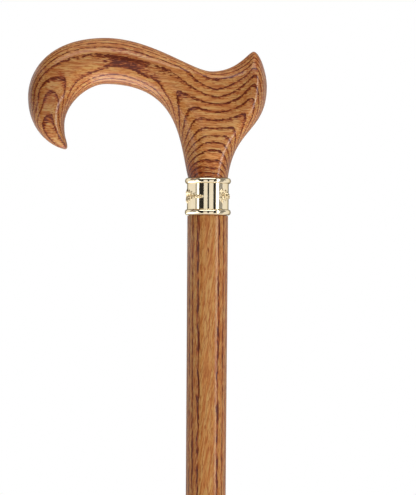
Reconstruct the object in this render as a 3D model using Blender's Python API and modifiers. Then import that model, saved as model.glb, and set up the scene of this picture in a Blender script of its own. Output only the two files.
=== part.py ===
# Walking cane with a derby handle, a brass collar, a tapered wooden shaft and a rubber tip.
#
# Metres, +Z up. The origin is the centre of the tip's sole, on the ground, and the shaft stands on it.
# The handle's hook points to -X and its horn to +X. Y runs across the handle, from face to face.

import math

import bmesh
import bpy
import numpy as np

MM = 0.001

# Whole cane
OVERALL_HEIGHT = 915 * MM           # sole of the tip to the crown of the handle
SEAT_GAP = 0.3 * MM                 # between faces that touch on the real cane

# Handle, seen from its side: heights are above the collar, reaches are from the shaft's axis
CROWN_RISE = 72.9 * MM              # top of the bar
CROWN_REACH = 54.0 * MM             # where the bar is highest, towards the hook
BAR_DEPTH = 24.0 * MM               # crown down to the arch, over the fingers
HOOK_REACH = 94.7 * MM              # front of the hook
HOOK_DEPTH = 19.0 * MM              # front of the hook back to its inner side
HOOK_RISE = 42.0 * MM               # where the hook reaches furthest
TIP_REACH = 75.2 * MM               # point of the hook
TIP_RISE = 14.4 * MM
SADDLE_RISE = 55.8 * MM             # hollow that the hand's web lies in
HORN_REACH = 23.5 * MM              # horn behind the hand
HORN_RISE = 66.3 * MM
HEEL_REACH = 30.6 * MM              # fullest part of the back, under the horn
HEEL_RISE = 48.0 * MM
NECK_RADIUS = 10.5 * MM             # where the handle meets the collar

# Handle, across its faces
BAR_WIDTH = 23.4 * MM               # the bar is round where the palm rests
PALM_WIDTH = 22.6 * MM              # broad part under the saddle, at its ridge towards the hook
HEEL_WIDTH = 24.6 * MM              # the same at its ridge towards the back
SADDLE_WIDTH = 12.4 * MM            # top of the saddle
WAIST_WIDTH = 18.4 * MM             # above the collar, where the faces draw in
FACE_HOLLOW = 2.7 * MM              # dish in each broad face, between the ridges
TIP_BLUNTNESS = 3.0 * MM            # length of the rounding at the hook's point

# How far the rounding of an edge reaches in from the outline
SADDLE_ROUND = 3.6 * MM
CREST_ROUND = 7.6 * MM              # between saddle and horn
HORN_ROUND = 6.0 * MM
HEEL_ROUND = 8.8 * MM
PALM_ROUND = 16.0 * MM              # side of the neck towards the hook
PALM_POWER = 1.4                    # 2 rounds an edge evenly, less leaves a ridge where rounding ends
HEEL_POWER = 1.7
CARRY_BLUR = 0.2 * MM               # keeps a rail's values even between its points

# Collar
COLLAR_HEIGHT = 19.4 * MM
COLLAR_WALL = 0.7 * MM
COLLAR_SEAT = 0.25 * MM             # width of wood that bears on each rim
BEAD_HEIGHT = 3.0 * MM
BEAD_PROUD = 1.13 * MM

# Shaft
SHAFT_SWELL = 0.2 * MM              # how far the shaft's top is proud of the neck
FOOT_RADIUS = 9.5 * MM
SHOULDER_CHAMFER = 0.3 * MM
FOOT_CHAMFER = 1.0 * MM

# Screw that joins handle and shaft through the collar
SCREW_RADIUS = 4.0 * MM
SCREW_LENGTH = 60.0 * MM
SCREW_CHAMFER = 1.0 * MM

# Rubber tip and the steel washer in it
TIP_HEIGHT = 40.0 * MM
SOLE_THICKNESS = 9.0 * MM
SLEEVE_WALL = 2.8 * MM
SLEEVE_TAPER = 0.6 * MM             # how far the sleeve widens from its mouth to its flare
LIP_ROUND = 1.2 * MM
FLARE = 3.6 * MM                    # how far the foot stands out past the sleeve
FLARE_HEIGHT = 13.0 * MM
FOOT_BAND = 4.0 * MM                # upright band above the sole
SOLE_EDGE = 1.2 * MM
RIB_COUNT = 3
RIB_HEIGHT = 2.4 * MM
RIB_PROUD = 0.8 * MM
RIB_PITCH = 4.4 * MM
RIB_TOP = 3.6 * MM                  # mouth of the sleeve down to the first rib
TREAD_DISC = 5.0 * MM               # radius of the flat disc in the middle of the sole
GROOVE_WIDTH = 1.6 * MM
GROOVE_DEPTH = 1.5 * MM
TREAD_PITCH = 3.6 * MM
WASHER_THICKNESS = 1.2 * MM

# Fineness of the meshes
HANDLE_SECTIONS = (13, 13, 10, 9, 9, 14)    # sections in each stretch of the outer rail
FIELD_FINENESS = 4                          # points of the outer rail for each section
SECTION_HALF = 13                           # facets from the inner to the outer edge of a section
SECTION_SPOTS = 81                          # spots at which a section's width is worked out
TURNED_STEPS = 48
BEAD_STEPS = 6

# Sizes that follow
handle_base = OVERALL_HEIGHT - CROWN_RISE
collar_top = handle_base - SEAT_GAP
collar_base = collar_top - COLLAR_HEIGHT
collar_middle = collar_base + COLLAR_HEIGHT / 2
collar_bore = NECK_RADIUS - COLLAR_SEAT
collar_radius = collar_bore + COLLAR_WALL
spigot_radius = collar_bore - SEAT_GAP
spigot_length = COLLAR_HEIGHT / 2 + SEAT_GAP / 2
screw_bore = SCREW_RADIUS + SEAT_GAP
screw_reach = SCREW_LENGTH / 2 + SEAT_GAP
shoulder_height = collar_base - SEAT_GAP
washer_base = SOLE_THICKNESS + SEAT_GAP
foot_height = washer_base + WASHER_THICKNESS + SEAT_GAP
shaft_radius = NECK_RADIUS + SHAFT_SWELL
socket_radius = FOOT_RADIUS + SEAT_GAP
sleeve_radius = socket_radius + SLEEVE_WALL
sole_radius = sleeve_radius + SLEEVE_TAPER + FLARE

# Rails of the handle. A knot is x, z, heading in degrees, and the reach of the curve before and
# after it. The outer rail runs from the hook's point over the bar, the saddle and the horn and down
# the back. The inner rail runs from the point up inside the hook, under the arch and down the neck.
OUTER_RAIL = (
    (-TIP_REACH, TIP_RISE, 176, 0, 3.6 * MM),
    (-HOOK_REACH, HOOK_RISE, 90, 21 * MM, 13.5 * MM),
    (-CROWN_REACH, CROWN_RISE, 0, 30 * MM, 24 * MM),
    (1.4 * MM, SADDLE_RISE, 0, 10 * MM, 14 * MM),
    (HORN_REACH, HORN_RISE, -5, 2.6 * MM, 3.5 * MM),
    (HEEL_REACH, HEEL_RISE, -90, 6.5 * MM, 24 * MM),
    (NECK_RADIUS, 0, -97, 27 * MM, 0),
)
INNER_RAIL = (
    (-TIP_REACH, TIP_RISE, 4, 0, 0.7 * MM),
    (1.2 * MM - TIP_REACH, TIP_RISE + 1.6 * MM, 95, 0.8 * MM, 4 * MM),
    (HOOK_DEPTH - HOOK_REACH, HOOK_RISE - 14.6 * MM, 90, 7.5 * MM, 11 * MM),
    (-CROWN_REACH, CROWN_RISE - BAR_DEPTH, 0, 9.5 * MM, 39 * MM),
    (-NECK_RADIUS, 0, -76, 19 * MM, 0),
)

# Share of the inner rail that each section starts from, by share of the outer rail
FACING = (
    (0, 0), (0.014, 0.032), (0.06, 0.10), (0.12, 0.175), (0.29, 0.34), (0.50, 0.585),
    (0.625, 0.726), (0.71, 0.803), (0.83, 0.877), (1, 1),
)

# Tables by share of a rail's length, 0 at the hook's point and 1 at the collar. The outer rail has
# the saddle at 0.6, the horn at 0.71 and the heel at 0.79. Widths are half widths across the faces.
HOOK_NARROWING = (0.22, 0.35, 0.52, 0.72, 0.89, 0.99)       # of the bar's width, from the point up
OUTER_HOOK = (0, 0.014, 0.035, 0.061, 0.088, 0.121)
INNER_HOOK = (0, 0.032, 0.066, 0.10, 0.135, 0.177)
OUTER_WIDTH = (
    *((place, share * BAR_WIDTH / 2) for place, share in zip(OUTER_HOOK, HOOK_NARROWING)),
    (0.15, BAR_WIDTH / 2), (0.48, BAR_WIDTH / 2), (0.56, (BAR_WIDTH + SADDLE_WIDTH) / 4),
    (0.61, SADDLE_WIDTH / 2), (0.66, SADDLE_WIDTH / 2 + 1 * MM), (0.70, SADDLE_WIDTH / 2 + 1 * MM),
    (0.76, HEEL_WIDTH / 2 - 1 * MM), (0.81, HEEL_WIDTH / 2), (0.86, HEEL_WIDTH / 2 - 0.4 * MM),
    (0.93, WAIST_WIDTH / 2), (1, NECK_RADIUS),
)
INNER_WIDTH = (
    *((place, share * BAR_WIDTH / 2) for place, share in zip(INNER_HOOK, HOOK_NARROWING)),
    (0.20, BAR_WIDTH / 2), (0.55, BAR_WIDTH / 2), (0.66, PALM_WIDTH / 2), (0.77, PALM_WIDTH / 2),
    (0.86, WAIST_WIDTH / 2), (0.93, WAIST_WIDTH / 2), (1, NECK_RADIUS),
)
OUTER_ROUND = (
    (0, BAR_DEPTH / 2), (0.46, BAR_DEPTH / 2), (0.60, SADDLE_ROUND), (0.66, CREST_ROUND),
    (0.71, HORN_ROUND), (0.81, HEEL_ROUND), (0.93, HEEL_ROUND), (1, NECK_RADIUS),
)
INNER_ROUND = (
    (0, BAR_DEPTH / 2), (0.60, BAR_DEPTH / 2), (0.70, BAR_DEPTH / 2 + 0.8 * MM), (0.78, PALM_ROUND),
    (0.86, (PALM_ROUND + BAR_DEPTH / 2) / 2), (1, NECK_RADIUS),
)
HOLLOW = (                          # by share of the outer rail
    (0, 0), (0.68, 0), (0.78, FACE_HOLLOW), (0.86, 0.75 * FACE_HOLLOW), (0.94, 0), (1, 0),
)
OUTER_POWER = (
    (0, 2), (0.50, 2), (0.62, HEEL_POWER), (0.88, HEEL_POWER), (0.96, 2), (1, 2),
)
INNER_POWER = (
    (0, 2), (0.58, 2), (0.70, PALM_POWER), (0.86, PALM_POWER), (0.95, 2), (1, 2),
)


def new_collection(name):
    collection = bpy.data.collections.new(name)
    bpy.context.scene.collection.children.link(collection)
    return collection


def material(name, colour, roughness, metallic=0.0):
    mat = bpy.data.materials.new(name)
    mat.use_nodes = True
    shader = mat.node_tree.nodes["Principled BSDF"]
    shader.inputs["Base Color"].default_value = (*colour, 1)
    shader.inputs["Roughness"].default_value = roughness
    shader.inputs["Metallic"].default_value = metallic
    mat.diffuse_color = (*colour, 1)
    return mat


def empty(name, location, collection, parent=None):
    obj = bpy.data.objects.new(name, None)
    obj.location = location
    obj.parent = parent
    collection.objects.link(obj)
    return obj


def place(name, mesh, location, mat, collection, parent):
    """Name a mesh as a part, at a world location, carried by an unrotated empty."""
    obj = bpy.data.objects.new(name, mesh)
    obj.parent = parent
    obj.location = np.subtract(location, parent.location)
    mesh.materials.append(mat)
    collection.objects.link(obj)
    return obj


def rail_points(knots, counts):
    """Points along a chain of Bezier curves, with the given number of steps in each stretch."""
    points = []
    for (x0, z0, heading0, _, reach0), (x1, z1, heading1, reach1, _), count in zip(
            knots[:-1], knots[1:], counts):
        start = np.array((x0, z0))
        end = np.array((x1, z1))
        leave = start + reach0 * np.array((math.cos(math.radians(heading0)),
                                           math.sin(math.radians(heading0))))
        arrive = end - reach1 * np.array((math.cos(math.radians(heading1)),
                                          math.sin(math.radians(heading1))))
        for t in np.arange(count) / count:
            points.append((1 - t) ** 3 * start + 3 * (1 - t) ** 2 * t * leave
                          + 3 * (1 - t) * t * t * arrive + t ** 3 * end)
    points.append(np.array(knots[-1][:2]))
    return np.array(points)


def lengths_along(points):
    steps = np.linalg.norm(np.diff(points, axis=0), axis=1)
    return np.concatenate(([0.0], np.cumsum(steps)))


def smooth_table(table, where):
    """Value at a place, on smooth curves through a table of (place, value) rows."""
    places, values = np.array(table, dtype=float).T
    rises = np.diff(values) / np.diff(places)
    before, after = rises[:-1], rises[1:]
    level = before * after <= 0     # the curve is level at a peak, so that it never overshoots
    inside = np.where(level, 0, 2 * before * after / np.where(level, 1, before + after))
    slopes = np.concatenate((rises[:1], inside, rises[-1:]))
    row = int(np.clip(np.searchsorted(places, where) - 1, 0, len(places) - 2))
    span = places[row + 1] - places[row]
    t = (where - places[row]) / span
    return ((2 * t ** 3 - 3 * t ** 2 + 1) * values[row]
            + (t ** 3 - 2 * t ** 2 + t) * span * slopes[row]
            + (3 * t ** 2 - 2 * t ** 3) * values[row + 1]
            + (t ** 3 - t ** 2) * span * slopes[row + 1])


def rail_values(lengths, tables):
    """Values of tables at each point of a rail, one row for each table."""
    shares = lengths / lengths[-1]
    return np.array([[smooth_table(table, share) for share in shares] for table in tables])


def carried(rail, lengths, values, spots):
    """Values of a rail carried to spots inside the outline: the nearer a point of the rail, the
    more it counts. The last row is each spot's distance from the rail."""
    away = spots[:, None] - rail
    weights = np.gradient(lengths) / (np.linalg.norm(away, axis=2) + CARRY_BLUR) ** 4
    weights /= weights.sum(axis=1, keepdims=True)
    steps = np.diff(rail, axis=0)
    along = np.clip((away[:, :-1] * steps).sum(axis=2) / (steps ** 2).sum(axis=1), 0, 1)
    gaps = np.linalg.norm(away[:, :-1] - along[..., None] * steps, axis=2)
    return (*(values @ weights.T), gaps.min(axis=1))


def half_widths(outer_side, inner_side, spots):
    """Half width of the handle across its faces, at spots inside its outline."""
    outer_width, outer_round, outer_power, hollow, outer_gap = carried(*outer_side, spots)
    inner_width, inner_round, inner_power, inner_gap = carried(*inner_side, spots)
    middle = (outer_gap + inner_gap) / 2
    share = inner_gap / (outer_gap + inner_gap)
    face = (inner_width + (outer_width - inner_width) * share * share * (3 - 2 * share)
            - hollow * np.sin(np.pi * share) ** 2)
    from_outer = 1 - np.minimum(outer_gap / np.minimum(outer_round, middle), 1)
    from_inner = 1 - np.minimum(inner_gap / np.minimum(inner_round, middle), 1)
    return face * np.sqrt((1 - from_outer ** outer_power) * (1 - from_inner ** inner_power))


def half_section(distances, widths, count):
    """Points (distance from the inner edge, half width), spread evenly by length and by turn."""
    outline = np.column_stack((distances, widths))
    steps = np.diff(outline, axis=0)
    turns = np.abs(np.diff(np.unwrap(np.arctan2(steps[:, 1], steps[:, 0]))))
    spread = np.linalg.norm(steps, axis=1) + max(widths) / 3 * np.concatenate(([0.0], turns))
    places = np.concatenate(([0.0], np.cumsum(spread)))
    wanted = np.linspace(0, places[-1], count + 1)
    return np.column_stack((np.interp(wanted, places, outline[:, 0]),
                            np.interp(wanted, places, outline[:, 1])))


def handle_mesh():
    """Loft between the two rails, from a pole at the hook's point to a flat round end."""
    outer = rail_points(OUTER_RAIL, [count * FIELD_FINENESS for count in HANDLE_SECTIONS])
    inner = rail_points(INNER_RAIL, [60] * (len(INNER_RAIL) - 1))
    outer_lengths = lengths_along(outer)
    inner_lengths = lengths_along(inner)
    outer_side = (outer, outer_lengths, rail_values(
        outer_lengths, (OUTER_WIDTH, OUTER_ROUND, OUTER_POWER, HOLLOW)))
    inner_side = (inner, inner_lengths, rail_values(
        inner_lengths, (INNER_WIDTH, INNER_ROUND, INNER_POWER)))
    spacing = (1 - np.cos(np.linspace(0, math.pi, SECTION_SPOTS))) / 2
    bm = bmesh.new()
    tip = bm.verts.new((outer[0][0], 0, outer[0][1]))
    last_ring = None
    for point, length in list(zip(outer, outer_lengths))[FIELD_FINENESS::FIELD_FINENESS]:
        share = length / outer_lengths[-1]
        facing = smooth_table(FACING, share) * inner_lengths[-1]
        start = np.array([np.interp(facing, inner_lengths, inner[:, axis]) for axis in (0, 1)])
        chord = np.linalg.norm(point - start)
        along = (point - start) / chord
        distances = chord * spacing
        spots = start + distances[:, None] * along
        blunt = 1 - min(length / TIP_BLUNTNESS, 1)
        widths = half_widths(outer_side, inner_side, spots) * math.sqrt(1 - blunt ** 2)
        widths[[0, -1]] = 0
        half = half_section(distances, widths, SECTION_HALF)
        near = [(start + along * distance, width) for distance, width in half]
        loop = near + [(spot, -width) for spot, width in near[-2:0:-1]]
        ring = [bm.verts.new((spot[0], width, spot[1])) for spot, width in loop]
        for i in range(len(ring)):
            j = (i + 1) % len(ring)
            if last_ring is None:
                bm.faces.new((tip, ring[j], ring[i]))
            else:
                bm.faces.new((last_ring[i], last_ring[j], ring[j], ring[i]))
        last_ring = ring
    bm.faces.new(last_ring)
    bmesh.ops.recalc_face_normals(bm, faces=bm.faces)
    mesh = bpy.data.meshes.new("handle")
    bm.to_mesh(mesh)
    bm.free()
    mesh.shade_smooth()
    mesh.set_sharp_from_angle(angle=math.radians(50))
    return mesh


def cylinder(name, radius, bottom, top, collection, parent, base):
    """Upright cylinder between two heights above base, used to cut or join another part."""
    mesh = bpy.data.meshes.new(name)
    bm = bmesh.new()
    bmesh.ops.create_cone(bm, cap_ends=True, segments=TURNED_STEPS, radius1=radius, radius2=radius,
                          depth=top - bottom)
    bmesh.ops.translate(bm, verts=bm.verts, vec=(0, 0, (top + bottom) / 2))
    bm.to_mesh(mesh)
    bm.free()
    obj = bpy.data.objects.new(name, mesh)
    obj.parent = parent
    obj.location = np.subtract(base, parent.location)
    obj.hide_render = True
    obj.display_type = "WIRE"
    collection.objects.link(obj)
    return obj


def boolean(obj, other, operation):
    modifier = obj.modifiers.new(other.name, "BOOLEAN")
    modifier.operation = operation
    modifier.solver = "EXACT"
    modifier.object = other


def turned(name, profile, location, mat, collection, parent):
    """Part turned about its Z axis from a profile that runs down its outer side."""
    mesh = bpy.data.meshes.new(name)
    edges = [(i, i + 1) for i in range(len(profile) - 1)]
    mesh.from_pydata([(radius, 0, height) for radius, height in profile], edges, [])
    obj = place(name, mesh, location, mat, collection, parent)
    screw = obj.modifiers.new("Turn", "SCREW")
    screw.axis = "Z"
    screw.steps = TURNED_STEPS
    screw.render_steps = TURNED_STEPS
    screw.use_merge_vertices = True
    screw.merge_threshold = 0.00001
    screw.use_smooth_shade = True
    return obj


def bead(radius, bottom, height, proud):
    """Half-round bead standing proud of a wall, as profile points from its top to its bottom."""
    points = []
    for angle in np.linspace(0, math.pi, BEAD_STEPS + 1):
        points.append((radius + proud * math.sin(angle),
                       bottom + height / 2 + height / 2 * math.cos(angle)))
    return points


def make_handle(parts, cutters, cane, wood):
    base = (0, 0, handle_base)
    obj = place("handle", handle_mesh(), base, wood, parts, cane)
    spigot = cylinder("handle_spigot", spigot_radius, -spigot_length, NECK_RADIUS / 2,
                      cutters, cane, base)
    boolean(obj, spigot, "UNION")
    bore_top = collar_middle + screw_reach - handle_base
    bore = cylinder("handle_bore", screw_bore, -COLLAR_HEIGHT, bore_top, cutters, cane, base)
    boolean(obj, bore, "DIFFERENCE")


def make_collar(parts, cane, brass):
    top = COLLAR_HEIGHT
    profile = [(collar_bore, 0), (collar_bore, top)]
    profile += bead(collar_radius, top - BEAD_HEIGHT, BEAD_HEIGHT, BEAD_PROUD)
    profile += bead(collar_radius, 0, BEAD_HEIGHT, BEAD_PROUD)
    profile.append(profile[0])
    turned("collar", profile, (0, 0, collar_base), brass, parts, cane)


def make_shaft(parts, cane, wood):
    top = collar_middle - SEAT_GAP / 2 - foot_height
    shoulder = shoulder_height - foot_height
    bore_floor = collar_middle - screw_reach - foot_height
    taper = (shaft_radius - FOOT_RADIUS) / shoulder
    profile = [
        (0, bore_floor),
        (screw_bore, bore_floor),
        (screw_bore, top),
        (spigot_radius, top),
        (spigot_radius, shoulder),
        (shaft_radius - SHOULDER_CHAMFER, shoulder),
        (shaft_radius, shoulder - SHOULDER_CHAMFER),
        (FOOT_RADIUS + taper * FOOT_CHAMFER, FOOT_CHAMFER),
        (FOOT_RADIUS - FOOT_CHAMFER, 0),
        (0, 0),
    ]
    turned("shaft", profile, (0, 0, foot_height), wood, parts, cane)


def make_screw(parts, cane, steel):
    half = SCREW_LENGTH / 2
    profile = [
        (0, half),
        (SCREW_RADIUS - SCREW_CHAMFER, half),
        (SCREW_RADIUS, half - SCREW_CHAMFER),
        (SCREW_RADIUS, SCREW_CHAMFER - half),
        (SCREW_RADIUS - SCREW_CHAMFER, -half),
        (0, -half),
    ]
    turned("joining_screw", profile, (0, 0, collar_middle), steel, parts, cane)


def sleeve_radius_at(height):
    """Outer radius of the rubber sleeve, which widens evenly from its mouth to its flare."""
    return sleeve_radius + SLEEVE_TAPER * (TIP_HEIGHT - height) / (TIP_HEIGHT - FLARE_HEIGHT)


def tip_profile():
    profile = [(0, SOLE_THICKNESS), (socket_radius, SOLE_THICKNESS), (socket_radius, TIP_HEIGHT)]
    lip = TIP_HEIGHT - LIP_ROUND
    for angle in np.radians(np.linspace(90, 0, 4)):
        profile.append((sleeve_radius_at(lip) - LIP_ROUND + LIP_ROUND * math.cos(angle),
                        lip + LIP_ROUND * math.sin(angle)))
    for i in range(RIB_COUNT):
        bottom = TIP_HEIGHT - RIB_TOP - i * RIB_PITCH - RIB_HEIGHT
        profile += bead(sleeve_radius_at(bottom + RIB_HEIGHT / 2), bottom, RIB_HEIGHT, RIB_PROUD)
    neck = sleeve_radius + SLEEVE_TAPER
    for t in np.linspace(0, 1, 6):
        ease = t * t * (3 - 2 * t)
        profile.append((neck + FLARE * ease, FLARE_HEIGHT + (FOOT_BAND - FLARE_HEIGHT) * t))
    profile.append((sole_radius, SOLE_EDGE))
    profile.append((sole_radius - SOLE_EDGE, 0))
    grooves = int((sole_radius - SOLE_EDGE - TREAD_DISC) / TREAD_PITCH)
    for i in reversed(range(grooves)):
        inside = TREAD_DISC + i * TREAD_PITCH
        outside = inside + GROOVE_WIDTH
        profile += [(outside, 0), (outside, GROOVE_DEPTH), (inside, GROOVE_DEPTH), (inside, 0)]
    profile.append((0, 0))
    return profile


def make_tip(parts, carrier, rubber, steel):
    turned("ferrule", tip_profile(), (0, 0, 0), rubber, parts, carrier)
    washer_radius = socket_radius - SEAT_GAP
    profile = [(0, WASHER_THICKNESS), (washer_radius, WASHER_THICKNESS), (washer_radius, 0), (0, 0)]
    turned("ferrule_washer", profile, (0, 0, washer_base), steel, parts, carrier)


def main():
    for obj in list(bpy.data.objects):
        bpy.data.objects.remove(obj, do_unlink=True)
    parts = new_collection("Walking cane")
    cutters = new_collection("Cutters")
    handle_wood = material("Oak, handle", (0.45, 0.20, 0.07), 0.3)
    shaft_wood = material("Oak, shaft", (0.42, 0.18, 0.06), 0.3)
    brass = material("Polished brass", (0.86, 0.74, 0.45), 0.12, metallic=1)
    steel = material("Zinc-plated steel", (0.62, 0.62, 0.60), 0.35, metallic=1)
    rubber = material("Black rubber", (0.03, 0.03, 0.03), 0.75)

    cane = empty("cane", (0, 0, 0), parts)
    tip_slide = empty("tip_slide", (0, 0, 0), parts, cane)  # the tip pulls off down this axis
    make_handle(parts, cutters, cane, handle_wood)
    make_collar(parts, cane, brass)
    make_shaft(parts, cane, shaft_wood)
    make_screw(parts, cane, steel)
    make_tip(parts, tip_slide, rubber, steel)


main()
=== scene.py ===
import math

import bmesh
import bpy
import numpy as np
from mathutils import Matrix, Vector


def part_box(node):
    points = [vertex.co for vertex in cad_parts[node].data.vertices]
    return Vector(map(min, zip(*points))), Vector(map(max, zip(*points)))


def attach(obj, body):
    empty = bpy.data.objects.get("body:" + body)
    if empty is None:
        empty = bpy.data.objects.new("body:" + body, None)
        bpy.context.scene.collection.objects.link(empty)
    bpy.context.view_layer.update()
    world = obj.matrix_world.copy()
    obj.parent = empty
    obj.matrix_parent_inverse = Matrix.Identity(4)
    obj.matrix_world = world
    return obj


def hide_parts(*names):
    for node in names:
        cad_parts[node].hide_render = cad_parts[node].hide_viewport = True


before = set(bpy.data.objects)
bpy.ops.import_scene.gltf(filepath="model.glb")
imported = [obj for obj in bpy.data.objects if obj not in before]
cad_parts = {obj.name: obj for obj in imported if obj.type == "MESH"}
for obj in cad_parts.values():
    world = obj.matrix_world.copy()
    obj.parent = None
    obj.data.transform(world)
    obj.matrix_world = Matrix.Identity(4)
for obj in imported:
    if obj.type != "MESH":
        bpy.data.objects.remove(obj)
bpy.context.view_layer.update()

mm = 0.001

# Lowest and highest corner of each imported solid, which its piece here takes its size from
handleLow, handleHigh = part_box("handle")
collarLow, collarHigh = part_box("collar")
shaftLow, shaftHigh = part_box("shaft")
screwLow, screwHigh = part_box("joining_screw")
tipLow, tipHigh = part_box("ferrule")
washerLow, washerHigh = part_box("ferrule_washer")

# Sizes that pieces share where one fits another
fit = {
    "gap": 0.3 * mm,                # between faces that seat on each other
    "spigotRadius": 9.95 * mm,      # of the handle and the shaft, inside the collar
    "boreRadius": 4.3 * mm,         # of the blind holes round the screw
}


# Camera: level, on the handle's near side, held a little out of plumb
cameraSet = {
    "distance": 650 * mm,
    "lens": 90,                     # on a 36 mm sensor along the picture's height
    "height": 805.45 * mm,
    "aside": 0.27 * mm,
    "roll": 0.41,                   # degrees
    "nearest": 50 * mm,             # nothing nearer is drawn
}


def makeCamera():
    data = bpy.data.cameras.new("camera")
    data.lens = cameraSet["lens"]
    data.clip_start = cameraSet["nearest"]
    cam = bpy.data.objects.new("camera", data)
    cam.location = (cameraSet["aside"], -cameraSet["distance"], cameraSet["height"])
    cam.rotation_euler = (math.radians(90), math.radians(-cameraSet["roll"]), 0)
    bpy.context.scene.collection.objects.link(cam)
    bpy.context.scene.camera = cam


makeCamera()
print("camera placed")


# Helpers for meshes

def addPiece(name, mesh, base, body, node, mat):
    # base is the height that the mesh is drawn from
    obj = bpy.data.objects.new(name, mesh)
    obj.location.z = base
    bpy.context.scene.collection.objects.link(obj)
    mesh.materials.append(mat)
    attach(obj, body)
    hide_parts(node)
    return obj


def ringMesh(name, rings, sharpAngle, poles=None):
    # skin between rings of the same count, closed by a pole at each end or else end to end
    bm = bmesh.new()
    rows = [[bm.verts.new(point) for point in ring] for ring in rings]
    count = len(rows[0])
    pairs = list(zip(rows[:-1], rows[1:]))
    if poles is None:
        pairs.append((rows[-1], rows[0]))
    for near, far in pairs:
        for i in range(count):
            j = (i + 1) % count
            bm.faces.new((near[i], near[j], far[j], far[i]))
    for pole, row in zip(poles or (), (rows[0], rows[-1])):
        centre = bm.verts.new(pole)
        for i in range(count):
            bm.faces.new((centre, row[(i + 1) % count], row[i]))
    bmesh.ops.recalc_face_normals(bm, faces=bm.faces)
    mesh = bpy.data.meshes.new(name)
    bm.to_mesh(mesh)
    bm.free()
    mesh.shade_smooth()
    mesh.set_sharp_from_angle(angle=math.radians(sharpAngle))
    return mesh


def evenTurns(count):
    return np.linspace(0, 2 * math.pi, count, endpoint=False)


def ringAt(height, radii):
    # one point for each radius, spread evenly round the axis
    return [(radius * math.cos(turn), radius * math.sin(turn), height)
            for radius, turn in zip(radii, evenTurns(len(radii)))]


def circle(radius, height, count):
    return ringAt(height, [radius] * count)


def turnedMesh(name, profile, count):
    # points of (radius, height), the first and the last on the axis
    rings = [circle(radius, height, count) for radius, height in profile[1:-1]]
    return ringMesh(name, rings, 35, [(0, 0, profile[0][1]), (0, 0, profile[-1][1])])


def arcPoints(centre, radius, start, end, steps):
    # points of (radius, height) on a rounding, angles in degrees from outwards to upwards
    points = []
    for angle in np.radians(np.linspace(start, end, steps + 1)):
        points.append((centre[0] + radius * math.cos(angle), centre[1] + radius * math.sin(angle)))
    return points


def eased(share):
    # from 0 to 1, level at both ends
    return share * share * (3 - 2 * share)


# Helpers for materials. In the dictionaries below a noise is given as fineness along each axis,
# detail and roughness, a finish's roughness as two places in the noise and the value at each, and
# a bump as strength and depth

def newMaterial(name):
    mat = bpy.data.materials.new(name)
    mat.use_nodes = True
    return mat


def fillIn(mat, node, inputs):
    # inputs are constants or sockets, by name or number
    for key, value in inputs.items():
        if isinstance(value, bpy.types.NodeSocket):
            mat.node_tree.links.new(value, node.inputs[key])
        else:
            node.inputs[key].default_value = value


def addNode(mat, kind, inputs=None, **settings):
    made = mat.node_tree.nodes.new(kind)
    for setting, value in settings.items():
        setattr(made, setting, value)
    fillIn(mat, made, inputs or {})
    return made


def setShader(mat, inputs):
    fillIn(mat, mat.node_tree.nodes["Principled BSDF"], inputs)


def placeOn(mat):
    return addNode(mat, "ShaderNodeTexCoord").outputs["Object"]


def axesOf(mat, place):
    return addNode(mat, "ShaderNodeSeparateXYZ", {0: place}).outputs


def calc(mat, operation, *values):
    return addNode(mat, "ShaderNodeMath", dict(enumerate(values)), operation=operation).outputs[0]


def scaled(mat, vector, factors):
    made = addNode(mat, "ShaderNodeVectorMath", {0: vector, 1: factors}, operation="MULTIPLY")
    return made.outputs[0]


def noise(mat, place, fineness, detail, roughness):
    inputs = {"Vector": scaled(mat, place, fineness), "Scale": 1.0, "Detail": detail,
              "Roughness": roughness}
    return addNode(mat, "ShaderNodeTexNoise", inputs).outputs[0]


def spread(mat, value, low, high, toLow=0.0, toHigh=1.0):
    inputs = {"Value": value, "From Min": low, "From Max": high, "To Min": toLow, "To Max": toHigh}
    return addNode(mat, "ShaderNodeMapRange", inputs, interpolation_type="SMOOTHSTEP").outputs[0]


def ramp(mat, value, stops):
    made = addNode(mat, "ShaderNodeValToRGB", {0: value})
    elements = made.color_ramp.elements
    while len(elements) < len(stops):
        elements.new(0.5)
    for element, (place, colour) in zip(elements, stops):
        element.position = place
        element.color = (*colour, 1)
    return made.outputs[0]


def mixColour(mat, share, under, over):
    inputs = {0: share, 6: under, 7: (*over, 1)}
    return addNode(mat, "ShaderNodeMix", inputs, data_type="RGBA").outputs[2]


def bumpFrom(mat, height, strength, depth):
    inputs = {"Height": height, "Strength": strength, "Distance": depth}
    return addNode(mat, "ShaderNodeBump", inputs).outputs[0]


def grey(value):
    return (value, value, value)


# Handle

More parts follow.
